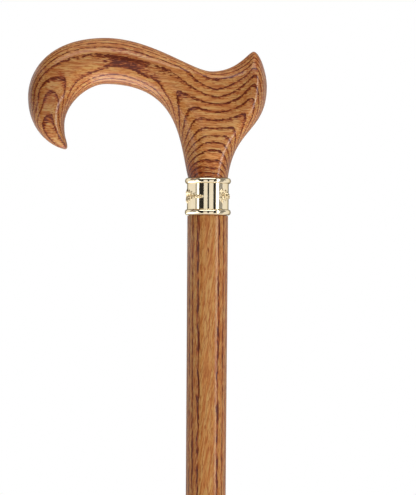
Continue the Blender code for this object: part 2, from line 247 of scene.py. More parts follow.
handleForm = {
    "crownRise": 72.9 * mm, "crownReach": 54 * mm, "barDepth": 24 * mm,
    "hookReach": 94.7 * mm, "hookDepth": 19 * mm, "hookRise": 42 * mm,
    "hookDrop": 14.6 * mm,                  # how much lower its inside bends back than its outside
    "tipReach": 75.2 * mm, "tipRise": 14.4 * mm, "tipBluntness": 3 * mm,
    "tipCorner": (1.2 * mm, 1.6 * mm),      # the inner corner of the point, inwards and up
    "saddleReach": 1.4 * mm, "saddleRise": 55.8 * mm,
    "hornReach": 23.5 * mm, "hornRise": 66.3 * mm,
    "heelReach": 30.6 * mm, "heelRise": 48 * mm,
    "neckRadius": 10.5 * mm, "neckEdge": (0.15 * mm, 0.02 * mm),    # inwards and down
    "barWidth": 23.4 * mm, "palmWidth": 22.6 * mm, "heelWidth": 24.6 * mm,
    "saddleWidth": 12.4 * mm, "waistWidth": 18.4 * mm, "faceHollow": 2.7 * mm,
    "saddleRound": 3.6 * mm, "crestRound": 7.6 * mm, "hornRound": 6 * mm,
    "heelRound": 8.8 * mm, "palmRound": 16 * mm, "palmPower": 1.4, "heelPower": 1.7,
    # half widths near the point, as shares of the bar's
    "narrowing": (0.22, 0.35, 0.52, 0.72, 0.89, 0.99),
    "carryBlur": 0.2 * mm, "carryPower": 4,  # how a rail's values blend inside the outline
    "turnWeight": 1 / 3,                    # of a radian's turn, in half widths of length
    "sections": (50, 50, 38, 34, 34, 50),   # in each stretch of the outer rail
    "innerPoints": 120,                     # in each stretch of the inner rail
    "halfSection": 44,                      # facets from the inner to the outer edge
    "sectionSpots": 121,                    # spots at which a section's width is worked out
}
handleBase = handleHigh.z - handleForm["crownRise"]


def outerRail(f):
    # x, z, heading in degrees, reach of the curve before and after the knot
    return (
        (-f["tipReach"], f["tipRise"], 176, 0, 3.6 * mm),
        (-f["hookReach"], f["hookRise"], 90, 21 * mm, 13.5 * mm),
        (-f["crownReach"], f["crownRise"], 0, 30 * mm, 24 * mm),
        (f["saddleReach"], f["saddleRise"], 0, 10 * mm, 14 * mm),
        (f["hornReach"], f["hornRise"], -5, 2.6 * mm, 3.5 * mm),
        (f["heelReach"], f["heelRise"], -90, 6.5 * mm, 24 * mm),
        (f["neckRadius"], 0, -97, 27 * mm, 0),
    )


def innerRail(f):
    inwards, up = f["tipCorner"]
    return (
        (-f["tipReach"], f["tipRise"], 4, 0, 0.7 * mm),
        (inwards - f["tipReach"], f["tipRise"] + up, 95, 0.8 * mm, 4 * mm),
        (f["hookDepth"] - f["hookReach"], f["hookRise"] - f["hookDrop"], 90, 7.5 * mm, 11 * mm),
        (-f["crownReach"], f["crownRise"] - f["barDepth"], 0, 9.5 * mm, 39 * mm),
        (-f["neckRadius"], 0, -76, 19 * mm, 0),
    )


def handleTables(f):
    # rows of share of a rail's length and value: 0 at the hook's point, 1 at the collar
    bar, palm, heel = f["barWidth"] / 2, f["palmWidth"] / 2, f["heelWidth"] / 2
    saddle, waist = f["saddleWidth"] / 2, f["waistWidth"] / 2
    neck, depth, hollow = f["neckRadius"], f["barDepth"] / 2, f["faceHollow"]
    narrowing = [share * bar for share in f["narrowing"]]
    return {
        "facing": ((0, 0), (0.014, 0.032), (0.06, 0.10), (0.12, 0.175), (0.29, 0.34),
                   (0.50, 0.585), (0.625, 0.726), (0.71, 0.803), (0.83, 0.877), (1, 1)),
        "outerWidth": (*zip((0, 0.014, 0.035, 0.061, 0.088, 0.121), narrowing), (0.15, bar),
                       (0.48, bar), (0.56, (bar + saddle) / 2), (0.61, saddle),
                       (0.66, saddle + 1 * mm), (0.70, saddle + 1 * mm), (0.76, heel - 1 * mm),
                       (0.81, heel), (0.86, heel - 0.4 * mm), (0.93, waist), (1, neck)),
        "innerWidth": (*zip((0, 0.032, 0.066, 0.10, 0.135, 0.177), narrowing), (0.20, bar),
                       (0.55, bar), (0.66, palm), (0.77, palm), (0.86, waist), (0.93, waist),
                       (1, neck)),
        "outerRound": ((0, depth), (0.46, depth), (0.60, f["saddleRound"]), (0.66, f["crestRound"]),
                       (0.71, f["hornRound"]), (0.81, f["heelRound"]), (0.93, f["heelRound"]),
                       (1, neck)),
        "innerRound": ((0, depth), (0.60, depth), (0.70, depth + 0.8 * mm), (0.78, f["palmRound"]),
                       (0.86, (f["palmRound"] + depth) / 2), (1, neck)),
        "hollow": ((0, 0), (0.68, 0), (0.78, hollow), (0.86, 0.75 * hollow), (0.94, 0), (1, 0)),
        "outerPower": ((0, 2), (0.50, 2), (0.62, f["heelPower"]), (0.88, f["heelPower"]),
                       (0.96, 2), (1, 2)),
        "innerPower": ((0, 2), (0.58, 2), (0.70, f["palmPower"]), (0.86, f["palmPower"]),
                       (0.95, 2), (1, 2)),
    }


def railPoints(knots, counts):
    points = []
    for (x0, z0, heading0, _, reach0), (x1, z1, heading1, reach1, _), count in zip(
            knots[:-1], knots[1:], counts):
        start, end = np.array((x0, z0)), np.array((x1, z1))
        away, home = math.radians(heading0), math.radians(heading1)
        leave = start + reach0 * np.array((math.cos(away), math.sin(away)))
        arrive = end - reach1 * np.array((math.cos(home), math.sin(home)))
        for t in np.arange(count) / count:
            points.append((1 - t) ** 3 * start + 3 * (1 - t) ** 2 * t * leave
                          + 3 * (1 - t) * t * t * arrive + t ** 3 * end)
    points.append(np.array(knots[-1][:2]))
    return np.array(points)


def lengthsAlong(points):
    steps = np.linalg.norm(np.diff(points, axis=0), axis=1)
    return np.concatenate(([0.0], np.cumsum(steps)))


def smoothTable(table, where):
    # smooth curve through the rows that never overshoots them
    places, values = np.array(table, dtype=float).T
    rises = np.diff(values) / np.diff(places)
    before, after = rises[:-1], rises[1:]
    level = before * after <= 0
    inside = np.where(level, 0, 2 * before * after / np.where(level, 1, before + after))
    slopes = np.concatenate((rises[:1], inside, rises[-1:]))
    row = int(np.clip(np.searchsorted(places, where) - 1, 0, len(places) - 2))
    span = places[row + 1] - places[row]
    t = (where - places[row]) / span
    return ((2 * t ** 3 - 3 * t ** 2 + 1) * values[row]
            + (t ** 3 - 2 * t ** 2 + t) * span * slopes[row]
            + (3 * t ** 2 - 2 * t ** 3) * values[row + 1]
            + (t ** 3 - t ** 2) * span * slopes[row + 1])


def railSide(rail, tables):
    lengths = lengthsAlong(rail)
    values = [[smoothTable(table, share) for share in lengths / lengths[-1]] for table in tables]
    return rail, lengths, np.array(values)


def carried(rail, lengths, values, spots):
    # a rail's values at spots inside the outline, nearer points of the rail count more, and
    # last each spot's distance from the rail
    away = spots[:, None] - rail
    blurred = np.linalg.norm(away, axis=2) + handleForm["carryBlur"]
    weights = np.gradient(lengths) / blurred ** handleForm["carryPower"]
    weights /= weights.sum(axis=1, keepdims=True)
    steps = np.diff(rail, axis=0)
    along = np.clip((away[:, :-1] * steps).sum(axis=2) / (steps ** 2).sum(axis=1), 0, 1)
    gaps = np.linalg.norm(away[:, :-1] - along[..., None] * steps, axis=2)
    return (*(values @ weights.T), gaps.min(axis=1))


def halfWidths(outerSide, innerSide, spots):
    outerWidth, outerRound, outerPower, hollow, outerGap = carried(*outerSide, spots)
    innerWidth, innerRound, innerPower, innerGap = carried(*innerSide, spots)
    middle = (outerGap + innerGap) / 2
    share = innerGap / (outerGap + innerGap)
    face = (innerWidth + (outerWidth - innerWidth) * eased(share)
            - hollow * np.sin(np.pi * share) ** 2)
    fromOuter = 1 - np.minimum(outerGap / np.minimum(outerRound, middle), 1)
    fromInner = 1 - np.minimum(innerGap / np.minimum(innerRound, middle), 1)
    return face * np.sqrt((1 - fromOuter ** outerPower) * (1 - fromInner ** innerPower))


def halfOutline(distances, widths, count):
    # points of (distance from the inner edge, half width), spread evenly by length and by turn
    outline = np.column_stack((distances, widths))
    steps = np.diff(outline, axis=0)
    turns = np.abs(np.diff(np.unwrap(np.arctan2(steps[:, 1], steps[:, 0]))))
    turnLength = max(widths) * handleForm["turnWeight"]
    lengths = np.linalg.norm(steps, axis=1) + turnLength * np.concatenate(([0.0], turns))
    places = np.concatenate(([0.0], np.cumsum(lengths)))
    wanted = np.linspace(0, places[-1], count + 1)
    return np.column_stack((np.interp(wanted, places, outline[:, 0]),
                            np.interp(wanted, places, outline[:, 1])))


def handleRings(f):
    outer = railPoints(outerRail(f), f["sections"])
    innerKnots = innerRail(f)
    inner = railPoints(innerKnots, [f["innerPoints"]] * (len(innerKnots) - 1))
    outerLengths, innerLengths = lengthsAlong(outer), lengthsAlong(inner)
    tables = handleTables(f)
    outerSide = railSide(outer, [tables[key] for key in
                                 ("outerWidth", "outerRound", "outerPower", "hollow")])
    innerSide = railSide(inner, [tables[key] for key in
                                 ("innerWidth", "innerRound", "innerPower")])
    spacing = (1 - np.cos(np.linspace(0, math.pi, f["sectionSpots"]))) / 2
    rings = []
    for point, length in zip(outer[1:], outerLengths[1:]):
        share = length / outerLengths[-1]
        facing = smoothTable(tables["facing"], share) * innerLengths[-1]
        start = np.array([np.interp(facing, innerLengths, inner[:, axis]) for axis in (0, 1)])
        chord = np.linalg.norm(point - start)
        along = (point - start) / chord
        distances = chord * spacing
        blunt = 1 - min(length / f["tipBluntness"], 1)
        widths = halfWidths(outerSide, innerSide, start + distances[:, None] * along)
        widths *= math.sqrt(1 - blunt ** 2)
        widths[[0, -1]] = 0
        half = halfOutline(distances, widths, f["halfSection"])
        near = [(start + along * distance, width) for distance, width in half]
        loop = near + [(spot, -width) for spot, width in near[-2:0:-1]]
        rings.append([(spot[0], width, spot[1]) for spot, width in loop])
    return outer[0], rings


def makeHandle():
    f = handleForm
    point, rings = handleRings(f)
    last = rings[-1]
    spigotEnd = handleLow.z - handleBase
    boreEnd = screwHigh.z + fit["gap"] - handleBase
    inwards, down = f["neckEdge"]

    def shrunk(radius, height):
        return [(x * radius / math.hypot(x, y), y * radius / math.hypot(x, y), height)
                for x, y, _ in last]

    rings += [shrunk(f["neckRadius"] - inwards, -down), shrunk(fit["spigotRadius"], 0),
              shrunk(fit["spigotRadius"], spigotEnd), shrunk(fit["boreRadius"], spigotEnd),
              shrunk(fit["boreRadius"], boreEnd)]
    mesh = ringMesh("handle", rings, 50, [(point[0], 0, point[1]), (0, 0, boreEnd)])
    return addPiece("handle_derby", mesh, handleBase, "cane", "handle", handleWood())


# Wood: growth rings are cylinders about a pith that lies off the piece, pores run along the grain

woodLook = {
    # colours along the coarse streaks, each with its place in their noise
    "tones": ((0.34, (0.40, 0.130, 0.030)), (0.48, (0.51, 0.215, 0.058)),
              (0.62, (0.54, 0.295, 0.096))),
    # what lies over them: the measure from and to which it sets in, and its greatest share
    "streak": {"colour": (0.31, 0.085, 0.018), "from": 0.50, "to": 0.60, "share": 0.75},
    "lateWood": {"colour": (0.29, 0.052, 0.007), "from": 0.14, "to": 0.64, "share": 0.92},
    "pore": {"colour": (0.085, 0.011, 0.002), "from": 0.48, "to": 0.86, "share": 0.95},
    # how porous a ring is, by share of its porous part, and by share of the ring at its end
    "ringStart": ((0, 0.95), (0.3, 0.78), (0.64, 0.36), (1, 0)),
    "ringEnd": ((0.94, 0), (1, 0.95)),
    "poreContrast": 2.5,            # how much single pores stand out from the rings
    "stainAndShadeKept": 0.65,              # part of the stains and painted shade that darkens the wood without adding pores
    "roughness": (0.2, 0.8, 0.42, 0.30),
    "coatRoughness": 0.2,
    "specular": 0.1,
    "streakHeight": 0.3,            # of the streaks against the pores, in the bump
    "bump": (0.25, 0.12 * mm),
}
handleGrain = {
    "coat": 0.55,
    "coarseStreaks": ((0.09, 0.8, 0.8), 4.0, 0.55),
    "fineStreaks": ((0.13, 1.7, 1.7), 2.0, 0.6),
    "poreCells": ((0.38, 1.9, 1.9), 2.0, 0.5),
    "pithAside": 90.0,              # millimetres from the middle plane, away from the camera's side
    "pithRise": 70.0,               # above the neck
    "ringWidth": 1.75,
    "firstRing": 102.0,
    "porousShare": 0.43,            # how far into a ring its pores reach
    "slow": ((0.03, 0.06, 0.06), 1.0, 0.5), "wander": 0.25,     # of the rings, and how far
    "quick": ((0.35, 1.6, 1.6), 2.0, 0.5), "ragged": 0.6,
    "drop": 0.05,                   # how steeply the pores run down towards the horn
    # places where the rings swell out or dip: x, z, reach, height, in millimetres
    "waves": ((-74, 54, 13, 0.32), (-59, 53, 8, 0.85), (-80, 38, 9, 1.3), (-91, 36, 7, -2.4),
              (-27, 48, 5, -0.5), (-16, 50, 10, 0.45), (4, 42, 6, -0.5), (22, 48, 8, 0.5),
              (2, 5, 6, -1.6), (2, 17, 5, 0.3)),
    # more porous and cleaner places, given the same way; the darkening at the horn and the nose is
    # painted shade, the rest are stains of the wood
    "stainsAndPaintedShade": ((-7.5, 2, 6, 0.8), (2, 1, 4, 0.4), (9, 6, 4, 0.3), (-76.3, 52.5, 2.2, 0.6),
               (-46, 62, 4.5, 0.4), (-38, 60.5, 4.5, 0.4), (27, 61, 6, 0.2), (24, 54, 13, 0.17),
               (-91, 45, 14, 0.2), (-71, 63, 4, -0.45), (-62, 64, 4, -0.55), (-54, 64.5, 3, -0.4),
               (-26, 58, 4, -0.35), (-18, 54, 4, -0.3)),
    # painted light and shade: places whose colour is made paler or darker for how the light falls
    # there, given the same way
    "paintedLightAndShade": ((3, 9, 6.5, 0.38), (12, 9, 5, -0.22), (2, 22, 10, 0.12), (0, 36, 9, 0.05),
              (-84, 36, 13, -0.24), (25, 46, 11, -0.12)),
}
shaftGrain = {
    "coat": 0.28,
    "coarseStreaks": ((0.9, 0.9, 0.07), 4.0, 0.55),
    "fineStreaks": ((2.6, 2.6, 0.22), 2.0, 0.6),
    "poreCells": ((1.7, 1.7, 0.22), 2.0, 0.5),
    "pithSide": 0.06,               # slope of the rings towards the horn's side
    "ringWidth": 2.15,
    "firstRing": 9.45,              # depth towards the near side
    "porousShare": 0.42,
    "slow": ((0.08, 0.08, 0.018), 2.0, 0.5), "wander": 0.7,
    "quick": ((1.2, 1.2, 0.12), 2.0, 0.5), "ragged": 1.1,
    "drop": 0.16,                   # how far the streaks lean from the shaft's line
}


def overlay(mat, under, measure, layer):
    # the layer's share where the measure says, and the colour with the layer on it
    share = spread(mat, measure, layer["from"], layer["to"], 0, layer["share"])
    return share, mixColour(mat, share, under, layer["colour"])


def woodShader(mat, grain, ringPlace, stainAndShade, paintedLighting, streakPlace, porePlace):
    # ringPlace counts rings, a whole number is where one year's wood ends; the argument after it
    # makes the wood more porous there, for real stains and for painted shade, and the next one is
    # painted light and shade, how much paler or darker the colour is made
    look = woodLook
    tone = noise(mat, streakPlace, *grain["coarseStreaks"])
    flecks = noise(mat, streakPlace, *grain["fineStreaks"])
    base = overlay(mat, ramp(mat, tone, look["tones"]), flecks, look["streak"])[1]
    # painted light and shade: the colour scaled paler or darker where the light falls
    base = addNode(mat, "ShaderNodeVectorMath", {0: base, "Scale": calc(mat, "ADD", paintedLighting, 1)},
                   operation="SCALE").outputs["Vector"]
    stops = [(share * grain["porousShare"], grey(porous)) for share, porous in look["ringStart"]]
    stops += [(share, grey(porous)) for share, porous in look["ringEnd"]]
    band = ramp(mat, calc(mat, "FRACT", ringPlace), stops)
    cells = calc(mat, "SUBTRACT", noise(mat, porePlace, *grain["poreCells"]), 0.5)
    # stains of the wood and painted shade add pores and darken the wood here
    porous = calc(mat, "ADD", calc(mat, "MULTIPLY_ADD", cells, look["poreContrast"], band), stainAndShade)
    colour = overlay(mat, base, porous, look["lateWood"])[1]
    dark = calc(mat, "MULTIPLY_ADD", stainAndShade, -look["stainAndShadeKept"], porous)
    pores, colour = overlay(mat, colour, dark, look["pore"])
    height = calc(mat, "SUBTRACT", calc(mat, "MULTIPLY", tone, look["streakHeight"]), pores)
    setShader(mat, {
        "Base Color": colour,
        "Normal": bumpFrom(mat, height, *look["bump"]),
        "Roughness": spread(mat, tone, *look["roughness"]),
        "Specular IOR Level": look["specular"],
        "Coat Weight": grain["coat"],
        "Coat Roughness": look["coatRoughness"],
    })
    return mat


def swayed(mat, value, place, pattern, reach):
    # the value moved to and fro by a noise
    sway = calc(mat, "SUBTRACT", noise(mat, place, *pattern), 0.5)
    return calc(mat, "MULTIPLY_ADD", sway, reach, value)


def withWaves(mat, value, x, z, waves):
    # round swellings added to the value, each fades out to its reach and beyond
    for placeX, placeZ, reach, height in waves:
        aside = calc(mat, "DIVIDE", calc(mat, "SUBTRACT", x, placeX), reach)
        above = calc(mat, "DIVIDE", calc(mat, "SUBTRACT", z, placeZ), reach)
        square = calc(mat, "MULTIPLY_ADD", aside, aside, calc(mat, "MULTIPLY", above, above))
        swell = calc(mat, "EXPONENT", calc(mat, "MULTIPLY", square, -1.0))
        value = calc(mat, "ADD", value, calc(mat, "MULTIPLY", swell, height))
    return value


def millimetres(mat):
    # place in the piece, and its three parts
    place = scaled(mat, placeOn(mat), (1 / mm, 1 / mm, 1 / mm))
    return (place, *axesOf(mat, place))


def handleWood():
    g = handleGrain
    mat = newMaterial("handle wood")
    place, x, y, z = millimetres(mat)
    tilted = addNode(mat, "ShaderNodeCombineXYZ",
                     {0: x, 1: y, 2: calc(mat, "MULTIPLY_ADD", x, g["drop"], z)}).outputs[0]
    across = calc(mat, "SUBTRACT", g["pithAside"], y)
    above = calc(mat, "SUBTRACT", z, g["pithRise"])
    radius = calc(mat, "SQRT", calc(mat, "ADD", calc(mat, "MULTIPLY", across, across),
                                    calc(mat, "MULTIPLY", above, above)))
    radius = swayed(mat, radius, place, g["slow"], g["wander"])
    radius = swayed(mat, radius, tilted, g["quick"], g["ragged"])
    radius = withWaves(mat, radius, x, z, g["waves"])
    rings = calc(mat, "DIVIDE", calc(mat, "SUBTRACT", radius, g["firstRing"]), g["ringWidth"])
    # stains of the wood, and painted shade at the horn and the nose
    stainAndShade = withWaves(mat, 0.0, x, z, g["stainsAndPaintedShade"])
    # painted light and shade on the handle, paler or darker for how the light falls
    paintedLighting = withWaves(mat, 0.0, x, z, g["paintedLightAndShade"])
    return woodShader(mat, g, rings, stainAndShade, paintedLighting, tilted, tilted)


def shaftWood():
    g = shaftGrain
    mat = newMaterial("shaft wood")
    place, x, y, z = millimetres(mat)
    leaning = addNode(mat, "ShaderNodeCombineXYZ",
                      {0: calc(mat, "MULTIPLY_ADD", z, -g["drop"], x), 1: y, 2: z}).outputs[0]
    depth = calc(mat, "SUBTRACT", calc(mat, "MULTIPLY", x, g["pithSide"]), y)
    depth = swayed(mat, depth, place, g["slow"], g["wander"])
    depth = swayed(mat, depth, place, g["quick"], g["ragged"])
    rings = calc(mat, "DIVIDE", calc(mat, "SUBTRACT", g["firstRing"], depth), g["ringWidth"])
    return woodShader(mat, g, rings, 0.0, 0.0, leaning, place)


handle = makeHandle()
print("handle made,", len(handle.data.vertices), "points")


# Shaft

shaftForm = {
    "count": 128,                   # points round it
    "rows": 60,                     # along the taper
    "footRadius": 9.5 * mm,
    "spigotBevel": 0.3 * mm,
    "shoulderRound": 0.3 * mm,
    "footRound": 1.0 * mm,
}


def makeShaft():
    f = shaftForm
    radius = shaftHigh.x
    top = shaftHigh.z - shaftLow.z
    shoulder = collarLow.z - fit["gap"] - shaftLow.z
    boreFloor = screwLow.z - fit["gap"] - shaftLow.z
    spigot, bevel = fit["spigotRadius"], f["spigotBevel"]
    profile = [(0, boreFloor), (fit["boreRadius"], boreFloor), (fit["boreRadius"], top),
               (spigot - bevel, top), (spigot, top - bevel), (spigot, shoulder)]
    taperTop = shoulder - f["shoulderRound"]
    profile += arcPoints((radius - f["shoulderRound"], taperTop), f["shoulderRound"], 90, 0, 4)
    for t in np.linspace(0, 1, f["rows"])[1:-1]:
        profile.append((radius + (f["footRadius"] - radius) * t,
                        taperTop + (f["footRound"] - taperTop) * t))
    footEdge = (f["footRadius"] - f["footRound"], f["footRound"])
    profile += arcPoints(footEdge, f["footRound"], 0, -90, 5)
    profile.append((0, 0))
    mesh = turnedMesh("shaft", profile, f["count"])
    return addPiece("shaft_wood", mesh, shaftLow.z, "cane", "shaft", shaftWood())


shaft = makeShaft()
print("shaft made,", len(shaft.data.vertices), "points")


# Collar: rolled bead at each rim and three leaf sprigs raised on the band between

collarForm = {
    "count": 540,
    "bandRows": 84,
    "beadSteps": 18,
    "bore": 10.25 * mm,
    "wall": 0.7 * mm,
    "beadHeight": 3 * mm,
    "sprigs": 3,
    "sprigStart": -88,              # degrees from the near side, the first sprig's stem end
    "relief": 0.8 * mm,
}
# One sprig, in millimetres, degrees and shares of the full relief
sprigForm = {
    "length": 14.6,                 # round the band
    "stemSway": 0.5, "stemWaves": 0.8, "stemWidth": 0.28, "stemRelief": 0.7,
    "stemEnds": (0.5, 1.5),         # how far it stays clear of the sprig's ends
    "pairs": 5, "firstPair": 1.0,
    "pairSpacing": 1 / 6.2,         # of the length
    "leafLength": 4.1, "leafWidth": 1.9,
    "leafShrink": 0.16,             # of the full size, from each pair to the next
    "leafLean": 70, "leanStep": 9,  # from the stem, and less by this much each pair
    "endLength": 3.6, "endWidth": 1.5, "endLean": 2,
    "belly": 0.8,                   # below 1 a leaf is widest nearer its foot
    "thinnest": 0.03, "fall": 0.45,             # at a leaf's ends
    "veinDepth": 0.45, "veinWidth": 0.14,
}
brassLook = {
    "haze": ((300, 300, 300), 4.0, 0.6),
    "colours": ((0.3, (0.83, 0.70, 0.48)), (0.7, (0.88, 0.76, 0.55))),      # by the haze
    "roughness": (0.3, 0.7, 0.05, 0.11),
    "sprigColour": (0.68, 0.55, 0.34),
    "sprigRoughness": 0.24,         # on top of the other
    "sprigHeights": (0.02 * mm, 0.2 * mm),      # between which the band becomes sprig
    "specularTint": (0.85, 0.76, 0.58, 1),
    "buff": ((120, 120, 900), 2.0, 0.5),
    "bump": (0.10, 0.05 * mm),
}


def leafRelief(s, h, foot, heading, length, width):
    # a pointed leaf with a vein down the middle, as a share of the full relief
    f = sprigForm
    turn = math.radians(heading)
    along = ((s - foot[0]) * math.cos(turn) + (h - foot[1]) * math.sin(turn)) / length
    aside = (h - foot[1]) * math.cos(turn) - (s - foot[0]) * math.sin(turn)
    inside = (along > 0) & (along < 1)
    along = np.clip(along, 0.001, 0.999)
    half = width / 2 * np.sin(math.pi * along ** f["belly"]) + f["thinnest"]
    dome = np.sqrt(np.clip(1 - (aside / half) ** 2, 0, 1))
    vein = 1 - f["veinDepth"] * np.exp(-(aside / f["veinWidth"]) ** 2)
    rise = 1 - f["fall"] + f["fall"] * np.sin(math.pi * along)
    return np.where(inside, dome * vein * rise, 0)


def stemAt(s):
    f = sprigForm
    return f["stemSway"] * np.sin(2 * math.pi * s / f["length"] * f["stemWaves"])


def sprigRelief(s, h):
    # s runs along the stem in millimetres, h up the band
    f = sprigForm
    clearStart, clearEnd = f["stemEnds"]
    stem = np.exp(-((h - stemAt(s)) / f["stemWidth"]) ** 2)
    relief = f["stemRelief"] * np.where((s > clearStart) & (s < f["length"] - clearEnd), stem, 0)
    for pair in range(f["pairs"]):
        at = f["firstPair"] + pair * f["length"] * f["pairSpacing"]
        size = 1 - f["leafShrink"] * pair
        lean = f["leafLean"] - f["leanStep"] * pair
        for side in (1, -1):
            leaf = leafRelief(s, h, (at, stemAt(at)), side * lean, f["leafLength"] * size,
                              f["leafWidth"] * size)
            relief = np.maximum(relief, leaf)
    at = f["length"] - f["endLength"]
    end = leafRelief(s, h, (at, stemAt(at)), f["endLean"], f["endLength"], f["endWidth"])
    return np.maximum(relief, end)


def makeCollar():
    f = collarForm
    height = collarHigh.z - collarLow.z
    radius = f["bore"] + f["wall"]
    proud = collarHigh.x - radius
    half = f["beadHeight"] / 2
    count = f["count"]
    azimuth = np.degrees(evenTurns(count)) + 90         # from the near side, towards the horn

    def bead(middle):
        return [circle(radius + proud * math.sin(angle), middle + half * math.cos(angle), count)
                for angle in np.linspace(0, math.pi, f["beadSteps"] + 1)]

    def bandRing(z):
        raised = np.zeros(count)
        for i in range(f["sprigs"]):
            start = f["sprigStart"] + i * 360 / f["sprigs"]
            s = np.radians((azimuth - start) % 360) * radius / mm
            raised = np.maximum(raised, sprigRelief(s, (z - height / 2) / mm))
        return ringAt(z, radius + f["relief"] * raised)

    rings = [circle(f["bore"], z, count) for z in (0, height / 2, height)]
    rings += bead(height - half)
    for z in np.linspace(height - f["beadHeight"], f["beadHeight"], f["bandRows"] + 1)[1:-1]:
        rings.append(bandRing(z))
    rings += bead(half)
    mesh = ringMesh("collar", rings, 60)
    return addPiece("collar_ring", mesh, collarLow.z, "cane", "collar",
                    collarBrass())


def raisedShare(mat, metres):
    # 1 on the sprigs, which are duller than the smooth band and beads
    f = collarForm
    x, y, z = axesOf(mat, metres)
    square = calc(mat, "MULTIPLY_ADD", x, x, calc(mat, "MULTIPLY", y, y))
    outwards = calc(mat, "SUBTRACT", calc(mat, "SQRT", square), f["bore"] + f["wall"])
    middle = (collarHigh.z - collarLow.z) / 2
    aside = calc(mat, "ABSOLUTE", calc(mat, "SUBTRACT", z, middle))
    inBand = calc(mat, "LESS_THAN", aside, middle - f["beadHeight"])
    return calc(mat, "MULTIPLY", spread(mat, outwards, *brassLook["sprigHeights"]), inBand)


def collarBrass():
    look = brassLook
    mat = newMaterial("collar brass")
    metres = placeOn(mat)
    haze = noise(mat, metres, *look["haze"])
    raised = raisedShare(mat, metres)
    smooth = spread(mat, haze, *look["roughness"])
    setShader(mat, {
        "Base Color": mixColour(mat, raised, ramp(mat, haze, look["colours"]), look["sprigColour"]),
        "Roughness": calc(mat, "MULTIPLY_ADD", raised, look["sprigRoughness"], smooth),
        "Normal": bumpFrom(mat, noise(mat, metres, *look["buff"]), *look["bump"]),
        "Metallic": 1,
        "Specular Tint": look["specularTint"],
    })
    return mat


collar = makeCollar()
print("collar made,", len(collar.data.vertices), "points")


# Screw that joins handle and shaft, threaded from end to end

screwForm = {
    "count": 28,
    "stepsPerTurn": 8,
    "pitch": 1.25 * mm,
    "threadDepth": 0.62 * mm,
    "flankCut": 1.15,               # above 1 the thread has a flat at its root
    "endTaper": 1 * mm,
}
steelLook = {
    "cloud": ((500, 500, 500), 4.0, 0.6),
    "colours": ((0.3, (0.50, 0.51, 0.50)), (0.7, (0.66, 0.66, 0.63))),      # by the cloud
    "cloudRange": (0.3, 0.7), "smoother": 0.06, "rougher": 0.10,
    "bump": (0.15, 0.1 * mm),
    "screwRoughness": 0.30,
    "washerRoughness": 0.36,
}


def makeScrew():
    f = screwForm
    length = screwHigh.z - screwLow.z
    radius = screwHigh.x
    rows = int(length / f["pitch"] * f["stepsPerTurn"])
    turned = np.arange(f["count"]) / f["count"]
    rings = []
    for z in np.linspace(0, length, rows + 1):
        flank = np.abs(2 * ((z / f["pitch"] - turned) % 1) - 1)
        thread = radius - f["threadDepth"] * np.minimum(1, f["flankCut"] * flank)
        taper = radius - f["endTaper"] + min(z, length - z, f["endTaper"])
        rings.append(ringAt(z, np.minimum(thread, taper)))
    mesh = ringMesh("screw", rings, 40, [(0, 0, 0), (0, 0, length)])
    return addPiece("screw_threaded", mesh, screwLow.z, "cane", "joining_screw",
                    steel("screw steel", steelLook["screwRoughness"]))


def steel(name, roughness):
    look = steelLook
    mat = newMaterial(name)
    cloud = noise(mat, placeOn(mat), *look["cloud"])
    setShader(mat, {
        "Base Color": ramp(mat, cloud, look["colours"]),
        "Roughness": spread(mat, cloud, *look["cloudRange"], roughness - look["smoother"],
                            roughness + look["rougher"]),
        "Normal": bumpFrom(mat, cloud, *look["bump"]),
        "Metallic": 1,
    })
    return mat


screw = makeScrew()
print("screw made,", len(screw.data.vertices), "points")


# Rubber tip and the washer in it

tipForm = {
    "count": 144,
    "soleThickness": 9 * mm,
    "socketRadius": 9.8 * mm,
    "sleeveWall": 2.8 * mm, "sleeveTaper": 0.6 * mm,
    "lipRound": 1.2 * mm, "lipBevel": 0.3 * mm, "lipSteps": 8,
    "flare": 3.6 * mm, "flareHeight": 13 * mm, "flareSteps": 18,
    "footBand": 4 * mm, "soleEdge": 1.2 * mm,
    "ribs": 3, "ribTop": 3.6 * mm, "ribPitch": 4.4 * mm, "ribHeight": 2.4 * mm,
    "ribProud": 0.8 * mm, "ribSteps": 12,
    "ribPower": 0.8,                # below 1 a rib is fuller than half round
    "treadDisc": 5 * mm, "treadPitch": 3.6 * mm,
    "grooveWidth": 1.6 * mm, "grooveDepth": 1.5 * mm, "grooveDraft": 0.15 * mm,
}
rubberLook = {
    "dust": ((90, 90, 90), 6.0, 0.65),
    "colours": ((0.35, (0.018, 0.018, 0.018)), (0.75, (0.034, 0.033, 0.032))),      # by the dust
    "roughness": (0.3, 0.7, 0.5, 0.68),
    "grain": ((1600, 1600, 1600), 2.0, 0.5),
    "bump": (0.25, 0.1 * mm),
}
washerForm = {
    "count": 96,
    "edge": 0.25 * mm,
    "dish": 0.12 * mm,              # how deep the middle is pressed
    "rim": 1.8 * mm,                # flat ring round it
    "slope": 0.4 * mm,              # from the rim down into it
}


